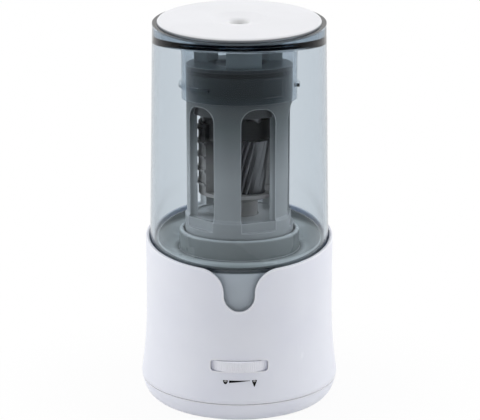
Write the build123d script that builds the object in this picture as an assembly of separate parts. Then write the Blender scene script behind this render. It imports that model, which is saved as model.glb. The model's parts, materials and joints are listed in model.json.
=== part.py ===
from build123d import *
import math
import os

# Upright battery pencil sharpener, millimetres.
# The origin is on the floor under the middle of the base, +Z is up and the front is at -Y.

# Fits
run_fit = 0.05  # radial play of a shaft in its bearing
lift_gap = 0.35  # play between the container's skirt and the base housing
skirt_gap = 0.45  # play between the container's skirt and the chassis
seat_gap = 0.1  # play of a fixed piece in its seat
free_gap = 0.5  # room around a turning piece
mesh_gap = 0.16  # thinning of each gear tooth at its pitch line
bite = 0.5  # overlap of joined bodies inside one piece

# Container and lid
skirt_r = 38.1
cup_wall = 1.7
cup_taper = 1.9  # the container's top is this much narrower than its skirt
cup_step_h = 2.8  # height of the straight skirt above the rim plane's middle
skirt_depth = 35.15  # skirt below the rim plane's middle
web_t = 2.0
web_fillet = 1.0
tube_wall = 1.5
tube_gap = 0.4
tube_drop = 23.9  # length of the inner tube below the web
bayonets = 2
bayonet_h = 1.4
bayonet_reach = 1.2
bayonet_rise = 5.0  # above the tube's foot
bayonet_start = -31.0  # from the front, to the left
bayonet_span = 70.0
lid_rise = 7.5  # middle of the lid plane above the web's underside
lid_tilt = 6.9
lid_edge = 2.0  # clear rim around the lid
lid_t = 2.5
lid_proud = 1.35
lid_ledge = 1.2
lid_round = 1.1
dimple_r = 12.2
dimple_depth = 1.3
dimple_edge = 1.0
pencil_hole_r = 4.1
hole_round = 2.0
sleeve_wall = 1.9

# Base housing
rim_wall = 1.25
waist_step = 0.3  # the waist is this much wider than the rim
flare = 2.5  # the widest ring is this much wider than the waist
flare_z = 42.0
widest_z = 10.4
seam_z = 8.8
seam_gap = 0.3
sole_inset = 4.6
sole_curve = 0.80  # fullness of the curve under the widest ring
low_wall = 2.3
rim_tilt = 8.9
rim_rise = 5.65  # middle of the rim plane above the dish floor
rim_round = 0.5
notch_r = 6.35
notch_depth = 16.95  # below the rim plane
shoulder_r = 9.5
rib_t = 2.0
rib_reach = 1.8
rib_angles = (12.0, 100.0, 168.0, -52.0, -128.0)

# Feet, sole and door
foot_show = 0.5
foot_r = 3.2
foot_seat = 1.0
foot_inset = 5.8
foot_angles = (-62.0, 65.0, 115.0, 242.0)
sole_t = 2.1
spigot_h = 2.6
spigot_t = 1.3
door_flange_t = 0.8
door_flange = 1.2
door_gap = 0.2
door_bay = 2.0  # door to the middle boss
door_plug_h = 1.0
finger_r = 2.4  # ball that cuts the finger recess
finger_drop = 1.2
leaf_h = 1.9
leaf_t = 0.4
leaf_w = 6.0
leaf_half = 6.0
leaf_bend = 3.0
leaf_gap = 0.05

# Battery cells
cell_r = 7.25
cell_len = 50.5
cell_nub_r = 2.6
cell_nub_h = 1.3
cell_play = 0.2
tray_t = 0.65
tray_roof_t = 0.9
tray_lift = 0.7
contact_t = 0.6
contact_w = 7.0
contact_end = 2.1
contact_round = 2.0

# Chassis
chassis_t = 1.75
plate_t = 2.0
sleeve_lip = 3.5
flange_t = 2.0
flange_gap = 0.25
post_r = 2.5
post_bite = 0.6
post_overlap = 6.0
post_front_angle = -40.0
screw_r = 1.15
screw_head_r = 2.2
screw_head_t = 1.5
screw_len = 12.0
screw_seat_t = 0.8
cover_head_t = 0.9
screw_slot_w = 0.6
screw_slot_d = 0.5
screw_boss_wall = 1.6
deck_screw_inset = 4.2
deck_screw_angles = (110.0, 245.0, 295.0)
deck_screw_len = 3.2

# Motor
motor_gap_rear = 0.3  # motor to the rear post
motor_gap_low = 1.7  # motor terminals above the nut's gear
motor_wall = 1.0
motor_cap_t = 3.0
motor_boss_r = 3.0
motor_boss_h = 1.5
motor_shaft_r = 1.0
magnet_t = 2.2
armature_gap = 1.1
armature_space = 4.5
armature_turn = 30.0
motor_screw_share = 0.667  # screw ring, in motor radii
motor_screw_r = 0.95
motor_screw_head_r = 1.8
motor_screw_head_t = 1.2
motor_screw_len = 3.0
motor_tail_t = 0.8
terminal_x = 7.0
terminal_w = 2.4
terminal_t = 0.6
terminal_len = 3.0
magnet_part = 5.0
magnet_over = 1.0
armature_slot_r = 2.2
armature_hub_r = 3.0
armature_hub_len = 2.5

# Gear train
gear_tip = 0.8  # tooth above the pitch line, in modules
gear_root = 1.0  # tooth below the pitch line, in modules
gear_flank = 20.0
drive_module = 0.8
output_teeth = 36
idler_pinion_teeth = 9
motor_module = 0.6
idler_teeth = 32
motor_teeth = 8
idler_float = 0.7
idler_gear_t = 2.2
output_float = 0.8
output_t = 4.4
hub_r = 7.2
hub_t = 1.7
axial_play = 0.2
journal_r = 6.0
bush_wall = 1.4
drive_flats = 10.0
drive_h = 7.5
drive_gap_top = 1.0
idler_pin_r = 1.0
idler_boss_r = 2.4
idler_cover = 1.0

# Deck
inner_floor_t = 2.5
collar_step = 6.5  # inner floor above the dish floor
collar_wall = 2.3
collar_bead = 1.9  # collar above the inner floor
collar_root = 0.9
dish_t = 2.0
dish_flat = 2.3  # flat ring of the dish around the collar
dish_edge_t = 0.7
dish_edge_rise = 5.1
dish_tilt = 8.4
dish_bowl_h = 9.0
dish_bend_out = 0.72
dish_bend_up = 0.22
deck_skirt_t = 2.3
deck_groove_h = 1.8
deck_groove_d = 1.2

# Cage
cage_wall = 3.4
cage_seat_gap = 0.3
cage_base_h = 4.5
cage_foot_h = 9.6
cage_foot_step = 0.8
cage_foot_chamfer = 1.2
sill_h = 8.6
sill_recess = 0.7
cage_floor_t = 1.4
cage_floor_drop = 0.6  # floor below the sill
window_span = 39.7
window_front = 34.7  # first windows from the middle of the front pillar
window_pitch = 62.6
window_corner = 6.0
pillar_turn = -12.9  # front pillar, turned to the left of the front
head_gap = 1.9
head_h = 13.1
head_step = 0.1
head_wall = 2.2  # around the ring gear
panel_w = 9.0
panel_h = 7.5
panel_turn = 37.0
panel_depth = 0.5

# Cutter, carrier and ring gear
cutter_turn = 31.0  # cutter, turned to the right of the front
slant_angle = 9.0
tip_rise = 19.0  # pencil tip above the inner floor
cutter_r = 7.0
cutter_len = 24.0
cutter_teeth = 20
cutter_tooth_h = 1.1
cutter_twist = 30.0
cutter_steps = 6
shank_r = 3.2
shank_len = 10.0
pinion_len = 6.0
pinion_teeth = 13
ring_teeth = 48
ring_wall = 1.2
ring_h = 5.6
ring_drop = 0.6  # ring gear's foot below the pinion's foot
axle_r = 1.5
axle_foot = 3.5
axle_head = 4.6
carrier_r = 15.6
carrier_hub_r = 7.8
carrier_lift = 1.0
carrier_plate_t = 5.0  # under the pencil tip
carrier_cone_h = 3.5
carrier_drum_r = 17.3
carrier_shoulder_drop = 1.5  # below the cutter's head
carrier_open = 1.5
carrier_head_t = 4.0
carrier_head_gap = 1.5
carrier_head_step = 0.4
carrier_neck_h = 5.0
carrier_neck_r = 6.5
carrier_rib_t = 1.0
carrier_rib_h = 0.7
carrier_ribs = 5
carrier_rib_end = 4.0
carrier_tip_r = 0.9
neck_funnel = 1.5

# Pencil guide
guide_gap = 0.8
guide_rim_t = 1.5
guide_bore_gap = 0.2
guide_block_h = 7.4
guide_block_r = 19.0
guide_block_t = 6.0
guide_block_span = 44.0
guide_blocks = 3
guide_block_turn = 6.0
guide_plug_h = 6.3
funnel_lip = 1.0
web_gap = 1.9

# Thumbwheel, nut and depth stop
wheel_r = 15.6
wheel_show = 2.4  # wheel beyond the base's waist
wheel_t = 4.3
wheel_z = 24.75
wheel_grooves = 120
wheel_groove_d = 0.2
slot_gap = 0.25
slot_end_gap = 0.35
slot_round = 1.2
slot_depth = 6.0  # slot starts this far behind the wall's inner face
stop_module = 0.8
wheel_teeth = 28
stop_gear_t = 3.5
stop_gear_gap = 0.6
wheel_pin_r = 1.5
wheel_boss_r = 4.0
clip_r = 3.4
clip_t = 0.8
clip_over = 0.8
clip_mouth = 2.4
stop_r = 2.4
stop_flat = 1.9
stop_below = 8.0
stop_top_gap = 2.0
stop_bore_gap = 0.6
nut_hub_r = 5.0
nut_hub_h = 5.5
press_t = 2.0
press_r = 9.0
press_stem_r = 4.15
press_travel = 1.2
press_collar_h = 1.5
press_float = 0.2
press_tab_w = 6.0
spring_wall = 1.4
spring_seat_h = 6.4
guide_boss_wall = 1.8
guide_boss_h = 9.8
bracket_w = 9.0
bracket_side = 2.7  # bracket to the trays
bracket_leg_t = 2.5
bracket_t = 3.0
bracket_z = 30.0
bracket_gap = 1.0

# Switches
switch_w = 12.8
switch_d = 6.4
switch_h = 8.3
switch_pad_h = 1.9
switch_y = -14.0
button_r = 1.2
button_depth = 3.0
interlock_angle = 65.0
interlock_r = 0.6
interlock_h = 9.4
interlock_depth = 5.0
interlock_back = 5.2

# Derived radii
bore_r = skirt_r + lift_gap
rim_r = bore_r + rim_wall
waist_r = rim_r + waist_step
widest_r = waist_r + flare
sole_r = widest_r - sole_inset
chassis_r = skirt_r - cup_wall - skirt_gap
chassis_in = chassis_r - chassis_t
guide_bore = pencil_hole_r + guide_bore_gap
sleeve_r = pencil_hole_r + sleeve_wall
cup_top_r = skirt_r - cup_taper
lid_r = cup_top_r - lid_edge
lid_seat_r = lid_r + seat_gap

# Derived heights, from the floor up
sole_z = foot_show + sole_t
cell_z = sole_z + door_plug_h + leaf_h
cell_top = cell_z + cell_len
plate_z = cell_top + contact_t + tray_roof_t
plate_top = plate_z + plate_t
idler_z = plate_top + idler_float
idler_top = idler_z + idler_gear_t
output_z = idler_top + output_float
output_top = output_z + output_t
inner_floor_under = output_top + hub_t + axial_play
inner_floor = inner_floor_under + inner_floor_t
dish_z = inner_floor - collar_step
dish_under = dish_z - dish_t
deck_z = plate_top + sleeve_lip
dish_edge_z = dish_z + dish_edge_rise
rim_z = dish_z + rim_rise
ledge_z = rim_z - skirt_depth
flange_z = ledge_z - flange_t
sill_z = inner_floor + sill_h
tip_z = inner_floor + tip_rise

# Derived places
post_ring = chassis_in - post_r + post_bite
motor_r = (post_ring - post_r - motor_gap_rear - bracket_w / 2 - bracket_gap) / 2
motor_y = motor_r + bracket_w / 2 + bracket_gap
armature_r = motor_r - motor_wall - seat_gap - magnet_t - armature_gap
tray_r = cell_r + cell_play + tray_t
cell_ring = chassis_in - seat_gap * 2 - tray_r
motor_clear = motor_r + seat_gap * 3 + tray_r
cell_rear = math.asin((cell_ring**2 + motor_y**2 - motor_clear**2) / (2 * cell_ring * motor_y))
cell_front = cell_rear - 2 * math.asin((cell_r + cell_play + tray_t / 2) / cell_ring)
cell_inner = cell_ring * math.cos(cell_front) - tray_r  # trays' reach towards the middle
drive_gap = drive_module * (output_teeth + idler_pinion_teeth) / 2
motor_gap = motor_module * (idler_teeth + motor_teeth) / 2
idler_y = (drive_gap**2 - motor_gap**2 + motor_y**2) / (2 * motor_y)
idler_x = math.sqrt(drive_gap**2 - idler_y**2)
rear_turn = 90.0
post_angles = (post_front_angle, 180.0 - post_front_angle, rear_turn)
front_turn = -90.0
cutter_angle = front_turn + cutter_turn

# Bevel mesh of the slanted pinion in the ring gear: both pitch cones meet where the axes meet
tan_slant = math.tan(math.radians(slant_angle))
cos_slant = math.cos(math.radians(slant_angle))
sin_slant = math.sin(math.radians(slant_angle))
cutter_foot = cutter_r / cos_slant  # the cutter's axis leaves the pencil axis by this at the tip
apex_z = tip_z - cutter_foot / tan_slant
ring_slope = sin_slant / (cos_slant - pinion_teeth / ring_teeth)
ring_cone = math.atan(ring_slope)
pinion_slope = math.tan(ring_cone - math.radians(slant_angle))
pinion_s = cutter_len + shank_len  # along the cutter's axis, from the tip
apex_s = -cutter_foot / sin_slant
ring_z = tip_z + pinion_s * cos_slant - ring_drop
carrier_z = inner_floor + carrier_lift
carrier_plate_z = tip_z - carrier_plate_t
carrier_head_z = tip_z + (pinion_s + pinion_len) * cos_slant + carrier_head_gap
carrier_head_top = carrier_head_z + carrier_head_t
neck_top = carrier_head_top + carrier_neck_h
guide_z = carrier_head_top + guide_gap

# Cage, container and lid, around the ring gear and above the carrier
ring_out = (ring_z + ring_h - apex_z) * ring_slope * (1 + 2 * gear_root / ring_teeth) + ring_wall
ring_seat = ring_out + run_fit
head_r = ring_seat + head_wall
cage_r = head_r - head_step
cage_in = cage_r - cage_wall
collar_in = cage_r + cage_foot_step + cage_seat_gap
collar_r = collar_in + collar_wall
dish_flat_r = collar_r + dish_flat
tube_in = head_r + tube_gap
tube_r = tube_in + tube_wall
head_top = guide_z + guide_plug_h
head_z = head_top - head_h
window_top = head_z - head_gap
block_top = head_top + guide_rim_t + guide_block_h
web_z = block_top + web_gap
web_top = web_z + web_t
lid_z = web_z + lid_rise
tube_z = web_z - tube_drop
sky = lid_z + widest_r  # above everything

# Thumbwheel and stop heights
wheel_reach = waist_r + wheel_show - wheel_r  # wheel axis from the middle, before whole teeth
nut_teeth = round(2 * wheel_reach / stop_module) - wheel_teeth
wheel_y = stop_module * (wheel_teeth + nut_teeth) / 2
wheel_low = wheel_z - wheel_t / 2
stop_gear_z = wheel_low - stop_gear_gap - stop_gear_t
press_top = stop_gear_z - press_collar_h
press_z = press_top - press_t
press_foot = sole_z + press_travel + press_float
stop_top = tip_z - stop_top_gap
guide_boss_r = press_stem_r + run_fit + guide_boss_wall
spring_boss_r = guide_boss_r + seat_gap + spring_wall
door_bay_r = spring_boss_r + door_bay
nut_top = stop_gear_z + stop_gear_t + nut_hub_h
start_z = sole_z + switch_pad_h
interlock_ring = skirt_r - cup_wall + interlock_r
motor_low = stop_gear_z + stop_gear_t + motor_gap_low + terminal_len
motor_len = plate_z - motor_low
armature_len = motor_len - motor_cap_t - motor_wall - armature_space - 2 * (armature_hub_len + magnet_over)


def cyl(r, low, high, x=0.0, y=0.0):
    """Upright cylinder between two heights."""
    return Pos(x, y, low) * Cylinder(r, high - low, align=(Align.CENTER, Align.CENTER, Align.MIN))


def ring(r_out, r_in, low, high, x=0.0, y=0.0):
    """Upright tube between two heights."""
    return cyl(r_out, low, high, x, y) - cyl(r_in, low - 1, high + 1, x, y)


def block(x0, x1, y0, y1, low, high):
    """Box between two corners."""
    centre = Pos((x0 + x1) / 2, (y0 + y1) / 2, (low + high) / 2)
    return centre * Box(x1 - x0, y1 - y0, high - low)


def spin(outline):
    """Solid of revolution about Z from an outline in radius and height."""
    return revolve(Plane.XZ * make_face(outline), Axis.Z)


def spin_points(*points):
    """Solid of revolution about Z from corner points in radius and height."""
    return spin(Polyline(*points, close=True))


def turned(angle, shape):
    """Shape turned about Z."""
    return Rot(0, 0, angle) * shape


def on_ring(radius, angle):
    """Point on a circle about Z, angle in degrees from +X."""
    turn = math.radians(angle)
    return radius * math.cos(turn), radius * math.sin(turn)


def above(height, tilt):
    """Half space above a plane that rises towards the back."""
    slab = Box(4 * sky, 4 * sky, sky, align=(Align.CENTER, Align.CENTER, Align.MIN))
    return Pos(0, 0, height) * Rot(tilt, 0, 0) * slab


def toothed(teeth, pitch_r, module, turn=0.0, inside=False):
    """Outline of a gear with a tooth at the given turn; inside makes the hole of a ring gear."""
    way = -1 if inside else 1
    tip = pitch_r + way * gear_tip * module
    root = pitch_r - way * gear_root * module
    half = (math.pi * module / 2 - mesh_gap) / 2
    tip_half = (half - gear_tip * module * math.tan(math.radians(gear_flank))) / tip
    root_half = half / pitch_r
    points = []
    for tooth in range(teeth):
        middle = math.radians(turn) + 2 * math.pi * tooth / teeth
        for radius, offset in ((root, -root_half), (tip, -tip_half), (tip, tip_half), (root, root_half)):
            points.append((radius * math.cos(middle + offset), radius * math.sin(middle + offset)))
    return make_face(Polyline(*points, close=True))


def gear(teeth, module, turn, low, high, x=0.0, y=0.0):
    """Spur gear between two heights."""
    return Pos(x, y, low) * extrude(toothed(teeth, module * teeth / 2, module, turn), high - low)


def base_outside():
    """Outside of the base below its rim, as one solid."""
    under_z = foot_show
    control_r = sole_r + (widest_r - sole_r) * sole_curve
    control_z = widest_z - (widest_z - under_z) * sole_curve
    flare_mid = (flare_z + widest_z) / 2
    outline = [
        Line((0, under_z), (sole_r, under_z)),
        Bezier((sole_r, under_z), (control_r, control_z), (widest_r, widest_z)),
        Bezier((widest_r, widest_z), (waist_r, flare_mid), (waist_r, flare_z)),
        Line((waist_r, flare_z), (rim_r, sky)),
        Line((rim_r, sky), (0, sky)),
        Line((0, sky), (0, under_z)),
    ]
    return spin(outline)


def above_rim():
    """Space above the tilted rim, with the round-bottomed front notch and its flared shoulders."""
    side_z = notch_r - notch_depth
    wide = notch_r + shoulder_r
    bend = shoulder_r * (1 - math.sqrt(0.5))
    far = 2 * widest_r
    outline = [
        ThreePointArc((-notch_r, side_z), (0, -notch_depth), (notch_r, side_z)),
        Line((notch_r, side_z), (notch_r, -shoulder_r)),
        ThreePointArc((notch_r, -shoulder_r), (notch_r + bend, -bend), (wide, 0)),
        Line((wide, 0), (far, 0)),
        Line((far, 0), (far, sky)),
        Line((far, sky), (-far, sky)),
        Line((-far, sky), (-far, 0)),
        Line((-far, 0), (-wide, 0)),
        ThreePointArc((-wide, 0), (-notch_r - bend, -bend), (-notch_r, -shoulder_r)),
        Line((-notch_r, -shoulder_r), (-notch_r, side_z)),
    ]
    front = extrude(Plane.XZ * make_face(outline), far)
    rear = block(-far, far, 0, far, 0, sky)
    return Pos(0, 0, rim_z) * Rot(rim_tilt, 0, 0) * (front + rear)


def housing_in(height):
    """Inner radius of the housing below the chassis flange."""
    low_in = widest_r - low_wall
    share = (flange_z - height) / (flange_z - seam_z)
    return bore_r + (low_in - bore_r) * share


def wheel_slot():
    """Slot in the front of the housing for the thumbwheel."""
    wall_r = housing_in(wheel_z)
    reach = (wall_r**2 + wheel_y**2 - wheel_r**2) / (2 * wheel_y)
    half = math.sqrt(wall_r**2 - reach**2) + slot_end_gap
    face = RectangleRounded(2 * half, wheel_t + 2 * slot_gap, slot_round)
    return extrude(Plane.XZ.offset(reach - slot_depth) * Pos(0, wheel_z) * face, widest_r)


def base_housing():
    """White outer shell with its tilted rim, notch, wheel slot and inner ribs."""
    shell = split(base_outside(), bisect_by=Plane.XY.offset(seam_z), keep=Keep.TOP)
    shell -= spin_points(
        (0, seam_z - 1),
        (housing_in(seam_z - 1), seam_z - 1),
        (bore_r, flange_z),
        (bore_r, sky + 1),
        (0, sky + 1),
    )
    shell -= above_rim()
    notch_low = rim_z - rim_r * math.tan(math.radians(rim_tilt)) - notch_depth - 1
    curved = [edge for edge in shell.edges() if edge.geom_type != GeomType.LINE]
    shell = fillet([edge for edge in curved if edge.bounding_box().min.Z > notch_low], rim_round)
    rib_low = seam_z + spigot_h + seat_gap
    for angle in rib_angles:
        rib = block(flange_r() - rib_reach, widest_r, -rib_t / 2, rib_t / 2, rib_low, flange_z)
        shell += turned(angle, rib) & base_outside()
    return shell - wheel_slot()


def flange_r():
    """Radius of the chassis flange that carries the container."""
    return bore_r - flange_gap


def door_outline(grow):
    """Outline of the battery door, over all four cells and round the middle boss, grown by an edge."""
    reach = cell_r + cell_play + grow
    rear = cell_ring * math.sin(cell_rear) + reach
    front = cell_ring * math.sin(cell_front) - reach
    strip = Pos(0, (rear + front) / 2) * Rectangle(4 * widest_r, rear - front)
    bay = Circle(door_bay_r - grow) + Pos(0, front) * Rectangle(2 * (door_bay_r - grow), -2 * front)
    return (Circle(cell_ring + reach) & strip) - bay


def bottom_cover():
    """White dish that closes the base, with the door opening, bosses and screw seats."""
    cover = split(base_outside(), bisect_by=Plane.XY.offset(seam_z - seam_gap), keep=Keep.BOTTOM)
    spigot_r = housing_in(seam_z + spigot_h) - seat_gap
    cover -= spin_points(
        (0, sole_z),
        (sole_r, sole_z),
        (spigot_r - spigot_t, seam_z - seam_gap),
        (spigot_r - spigot_t, seam_z),
        (0, seam_z),
    )
    cover += ring(spigot_r, spigot_r - spigot_t, seam_z - seam_gap - 1, seam_z + spigot_h)
    cover += ring(wheel_boss_r, wheel_pin_r, sole_z - 1, stop_gear_z - axial_play, 0, -wheel_y)
    cover += cyl(spring_boss_r, sole_z - 1, sole_z + spring_seat_h)
    cover += cyl(guide_boss_r, sole_z - 1, sole_z + guide_boss_h)
    cover -= cyl(press_stem_r + run_fit, sole_z, sky)
    pad = switch_w / 2
    cover += block(-pad, pad, switch_y - switch_d / 2, switch_y + switch_d / 2, sole_z - 1, start_z)
    cover -= Pos(0, 0, foot_show - 1) * extrude(door_outline(door_flange + door_gap), 1 + door_flange_t)
    cover -= extrude(door_outline(door_gap), sole_z + 1)
    for x, y in foot_places():
        cover -= cyl(foot_r + seat_gap, foot_show - 1, foot_show + foot_seat, x, y)
    for angle in post_angles:
        x, y = on_ring(post_ring, angle)
        cover -= cyl(screw_r + seat_gap, 0, sky, x, y)
        cover -= cyl(screw_head_r + seat_gap, 0, sole_z - screw_seat_t, x, y)
    return cover


def foot_places():
    """Middles of the four feet."""
    return [on_ring(sole_r - foot_inset, angle) for angle in foot_angles]


def rubber_feet():
    """Four round feet in their seats."""
    return [cyl(foot_r, 0, foot_show + foot_seat, x, y) for x, y in foot_places()]


def cover_screws():
    """Three screws from the sole up into the chassis posts."""
    seat_z = sole_z - screw_seat_t
    under_z = seat_z - cover_head_t
    half = screw_slot_w / 2
    screws = []
    for angle in post_angles:
        x, y = on_ring(post_ring, angle)
        screw = cyl(screw_head_r, under_z, seat_z, x, y) + cyl(screw_r, seat_z, sole_z + screw_len, x, y)
        slot = block(x - half, x + half, y - screw_head_r, y + screw_head_r, 0, under_z + screw_slot_d)
        screws.append(screw - slot)
    return screws


def battery_door():
    """Plug-in door under the four cells, with a finger recess at its rear edge."""
    door = extrude(door_outline(door_flange), door_flange_t)
    door = Pos(0, 0, foot_show) * door
    plug_h = sole_z + door_plug_h - foot_show - door_flange_t
    door += Pos(0, 0, foot_show + door_flange_t) * extrude(door_outline(0), plug_h)
    rear = cell_ring * math.sin(cell_rear) + cell_r + cell_play
    return door - Pos(0, rear, foot_show - finger_drop) * Sphere(finger_r)


def door_contacts():
    """Bent leaf contact under each cell, seated on the door."""
    tip = leaf_h - leaf_gap
    profile = Polyline(
        (-leaf_half, 0),
        (leaf_bend, 0),
        (leaf_half, tip - leaf_t),
        (leaf_half - leaf_t, tip),
        (leaf_bend - leaf_t / 2, leaf_t),
        (-leaf_half, leaf_t),
        close=True,
    )
    leaf = extrude(Plane.XZ * make_face(profile), leaf_w / 2, both=True)
    leaves = []
    for x, y in cell_places():
        leaves.append(Pos(x, y, sole_z + door_plug_h) * Rot(0, 0, 90) * leaf)
    return leaves


def cell_places():
    """Middles of the four cells, left pair then right pair."""
    places = []
    for side in (-1, 1):
        for turn in (cell_front, cell_rear):
            places.append((side * cell_ring * math.cos(turn), cell_ring * math.sin(turn)))
    return places


def battery_cell(x, y, nub_up):
    """Cell with its nub at one end."""
    body_z = cell_z if nub_up else cell_z + cell_nub_h
    body = cyl(cell_r, body_z, body_z + cell_len - cell_nub_h, x, y)
    return body + cyl(cell_nub_r, cell_z, cell_top, x, y)


def top_contact(pair):
    """Plate that bridges the tops of one pair of cells."""
    (x0, y0), (x1, y1) = pair
    length = math.dist(*pair) + 2 * contact_end
    turn = math.degrees(math.atan2(y1 - y0, x1 - x0))
    plate = extrude(RectangleRounded(length, contact_w, contact_round), contact_t)
    return Pos((x0 + x1) / 2, (y0 + y1) / 2, cell_top) * Rot(0, 0, turn) * plate


def battery_tray(pair):
    """Two joined tubes, closed at the top, that hold one pair of cells."""
    low = cell_z + tray_lift
    tray = cyl(tray_r, low, plate_z, *pair[0]) + cyl(tray_r, low, plate_z, *pair[1])
    for x, y in pair:
        tray -= cyl(cell_r + cell_play, low - 1, cell_top + contact_t, x, y)
    return tray - Pos(0, 0, -bite) * top_contact(pair) - top_contact(pair)


def deck_screw_places():
    """Middles of the screws that hold the deck on the gear plate."""
    return [on_ring(chassis_in - deck_screw_inset, angle) for angle in deck_screw_angles]


def motor_screw_places():
    """Middles of the screws that hold the motor under the gear plate."""
    reach = motor_r * motor_screw_share
    return [(0, motor_y - reach), (0, motor_y + reach)]


def chassis():
    """White inner frame: sleeve behind the container's skirt, flange, gear plate and posts."""
    frame = ring(chassis_r, chassis_in, flange_z, deck_z)
    frame += ring(flange_r(), chassis_in, flange_z, ledge_z)
    frame += cyl(chassis_in + bite, plate_z, plate_top)
    for angle in post_angles:
        x, y = on_ring(post_ring, angle)
        frame += cyl(post_r, sole_z, ledge_z + post_overlap, x, y)
        frame -= cyl(screw_r + run_fit, sole_z - 1, sole_z + screw_len + free_gap, x, y)
    frame -= cyl(motor_boss_r + seat_gap, 0, sky, 0, motor_y)
    for x, y in motor_screw_places():
        frame -= cyl(motor_screw_r + seat_gap, plate_z - 1, sky, x, y)
        frame -= cyl(motor_screw_head_r + seat_gap, plate_top - motor_screw_head_t, sky, x, y)
    frame -= cyl(journal_r + run_fit + bush_wall + run_fit, plate_z - 1, sky)
    frame -= cyl(idler_pin_r + run_fit, plate_z - 1, sky, idler_x, idler_y)
    for x, y in deck_screw_places():
        frame -= cyl(screw_r + seat_gap, plate_z - 1, sky, x, y)
    x, y = on_ring(interlock_ring, interlock_angle)
    return frame - cyl(interlock_r + run_fit, flange_z - 1, ledge_z + 1, x, y)


def deck_screws():
    """Three screws from under the gear plate into the deck's bosses."""
    screws = []
    for x, y in deck_screw_places():
        head = cyl(screw_head_r, plate_z - screw_head_t, plate_z, x, y)
        screws.append(head + cyl(screw_r, plate_z, plate_top + deck_screw_len, x, y))
    return screws


def deck():
    """Grey dish with a slanted edge, a groove under it, a raised collar and an inner floor over the gears."""
    body = cyl(chassis_r, deck_z, sky) - above(dish_edge_z, dish_tilt)
    wall_r = chassis_r - dish_edge_t
    bowl_run = wall_r - dish_flat_r
    bend = (dish_flat_r + bowl_run * dish_bend_out, dish_z + dish_bowl_h * dish_bend_up)
    bowl = [
        Line((0, dish_z), (dish_flat_r, dish_z)),
        Spline((dish_flat_r, dish_z), bend, (wall_r, dish_z + dish_bowl_h), tangents=((1, 0), (0, 1))),
        Line((wall_r, dish_z + dish_bowl_h), (wall_r, sky)),
        Line((wall_r, sky), (0, sky)),
        Line((0, sky), (0, dish_z)),
    ]
    body -= spin(bowl)
    body -= cyl(chassis_r - deck_skirt_t, deck_z - 1, dish_under) - above(dish_edge_z - dish_t, dish_tilt)
    body -= ring(chassis_r + 1, chassis_r - deck_groove_d, deck_z - 1, deck_z + deck_groove_h)
    bead = collar_wall / 2
    collar_top = inner_floor + collar_bead
    bead_z = collar_top - bead
    collar_low = dish_z - bite
    collar = [
        Line((0, collar_low), (collar_r, collar_low)),
        Line((collar_r, collar_low), (collar_r, bead_z)),
        ThreePointArc((collar_r, bead_z), (collar_r - bead, collar_top), (collar_in, bead_z)),
        Line((collar_in, bead_z), (collar_in, inner_floor)),
        Line((collar_in, inner_floor), (0, inner_floor)),
        Line((0, inner_floor), (0, collar_low)),
    ]
    body += spin(collar)
    body -= cyl(collar_in - collar_root, deck_z - 1, inner_floor_under)
    boss_low = output_top + axial_play * 2
    body += cyl(idler_boss_r, boss_low, inner_floor, idler_x, idler_y)
    body -= cyl(idler_pin_r + run_fit, boss_low - 1, inner_floor - idler_cover, idler_x, idler_y)
    body -= cyl(journal_r + run_fit, 0, sky)
    for x, y in deck_screw_places():
        body += cyl(screw_r + screw_boss_wall, plate_top, dish_under + bite, x, y)
        body -= cyl(screw_r + run_fit, plate_top - 1, plate_top + deck_screw_len + axial_play, x, y)
    return body


def window_angles():
    """Middles of the cage's windows: two on each side of the front pillar, and one at the rear."""
    front = front_turn + pillar_turn
    side = window_front + window_pitch
    return [front - side, front - window_front, front + window_front, front + side, front + 180]


def cage():
    """Grey windowed tube with a floor, stepped feet and a seat for the ring gear."""
    base_r = cage_r + cage_foot_step
    foot_z = inner_floor + cage_foot_h
    tube = ring(cage_r, cage_in, inner_floor, head_z)
    tube += ring(base_r, cage_in, inner_floor, inner_floor + cage_base_h)
    tube += spin_points(
        (cage_in, inner_floor),
        (base_r, inner_floor),
        (base_r, foot_z - cage_foot_chamfer),
        (cage_r, foot_z),
        (cage_in, foot_z),
    )
    tube -= cyl(ring_seat, ring_z, sky)
    floor_z = sill_z - cage_floor_drop
    tube += ring(cage_in + bite, carrier_hub_r + free_gap, floor_z - cage_floor_t, floor_z)
    half = cage_r * math.sin(math.radians(window_span / 2))
    flat = half - window_corner
    round_z = window_top - window_corner
    bend = window_corner * math.sqrt(0.5)
    outline = [
        Line((-half, sill_z), (half, sill_z)),
        Line((half, sill_z), (half, round_z)),
        ThreePointArc((half, round_z), (flat + bend, round_z + bend), (flat, window_top)),
        Line((flat, window_top), (-flat, window_top)),
        ThreePointArc((-flat, window_top), (-flat - bend, round_z + bend), (-half, round_z)),
        Line((-half, round_z), (-half, sill_z)),
    ]
    window = extrude(Plane.YZ * make_face(outline), 2 * cage_r)
    far = 2 * cage_r
    wide = far * math.tan(math.radians(window_span / 2))
    window &= extrude(make_face(Polyline((0, 0), (far, -wide), (far, wide), close=True)), sky)
    strip_low = inner_floor + cage_base_h
    strip = block(cage_r - sill_recess, 2 * cage_r, -half, half, strip_low, sill_z + 1)
    for angle in window_angles():
        tube -= turned(angle, window)
        tube -= turned(angle, strip)
    return tube


def cage_head():
    """Dark ring on the cage that takes the pencil guide, with a recessed panel."""
    panel = Pos(head_r, 0, (head_z + head_top) / 2) * Box(2 * panel_depth, panel_w, panel_h)
    return ring(head_r, ring_seat, head_z, head_top) - turned(front_turn + panel_turn, panel)


def ring_gear():
    """Internal bevel gear, fixed in the cage head, with a gap towards the cutter's pinion."""
    turn = cutter_angle + 180 / ring_teeth
    faces = []
    for height in (ring_z - bite, ring_z + ring_h + bite):
        pitch_r = (height - apex_z) * ring_slope
        hole = toothed(ring_teeth, pitch_r, 2 * pitch_r / ring_teeth, turn, inside=True)
        faces.append(Pos(0, 0, height) * hole)
    return cyl(ring_out, ring_z, ring_z + ring_h) - loft(faces, ruled=True)


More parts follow.
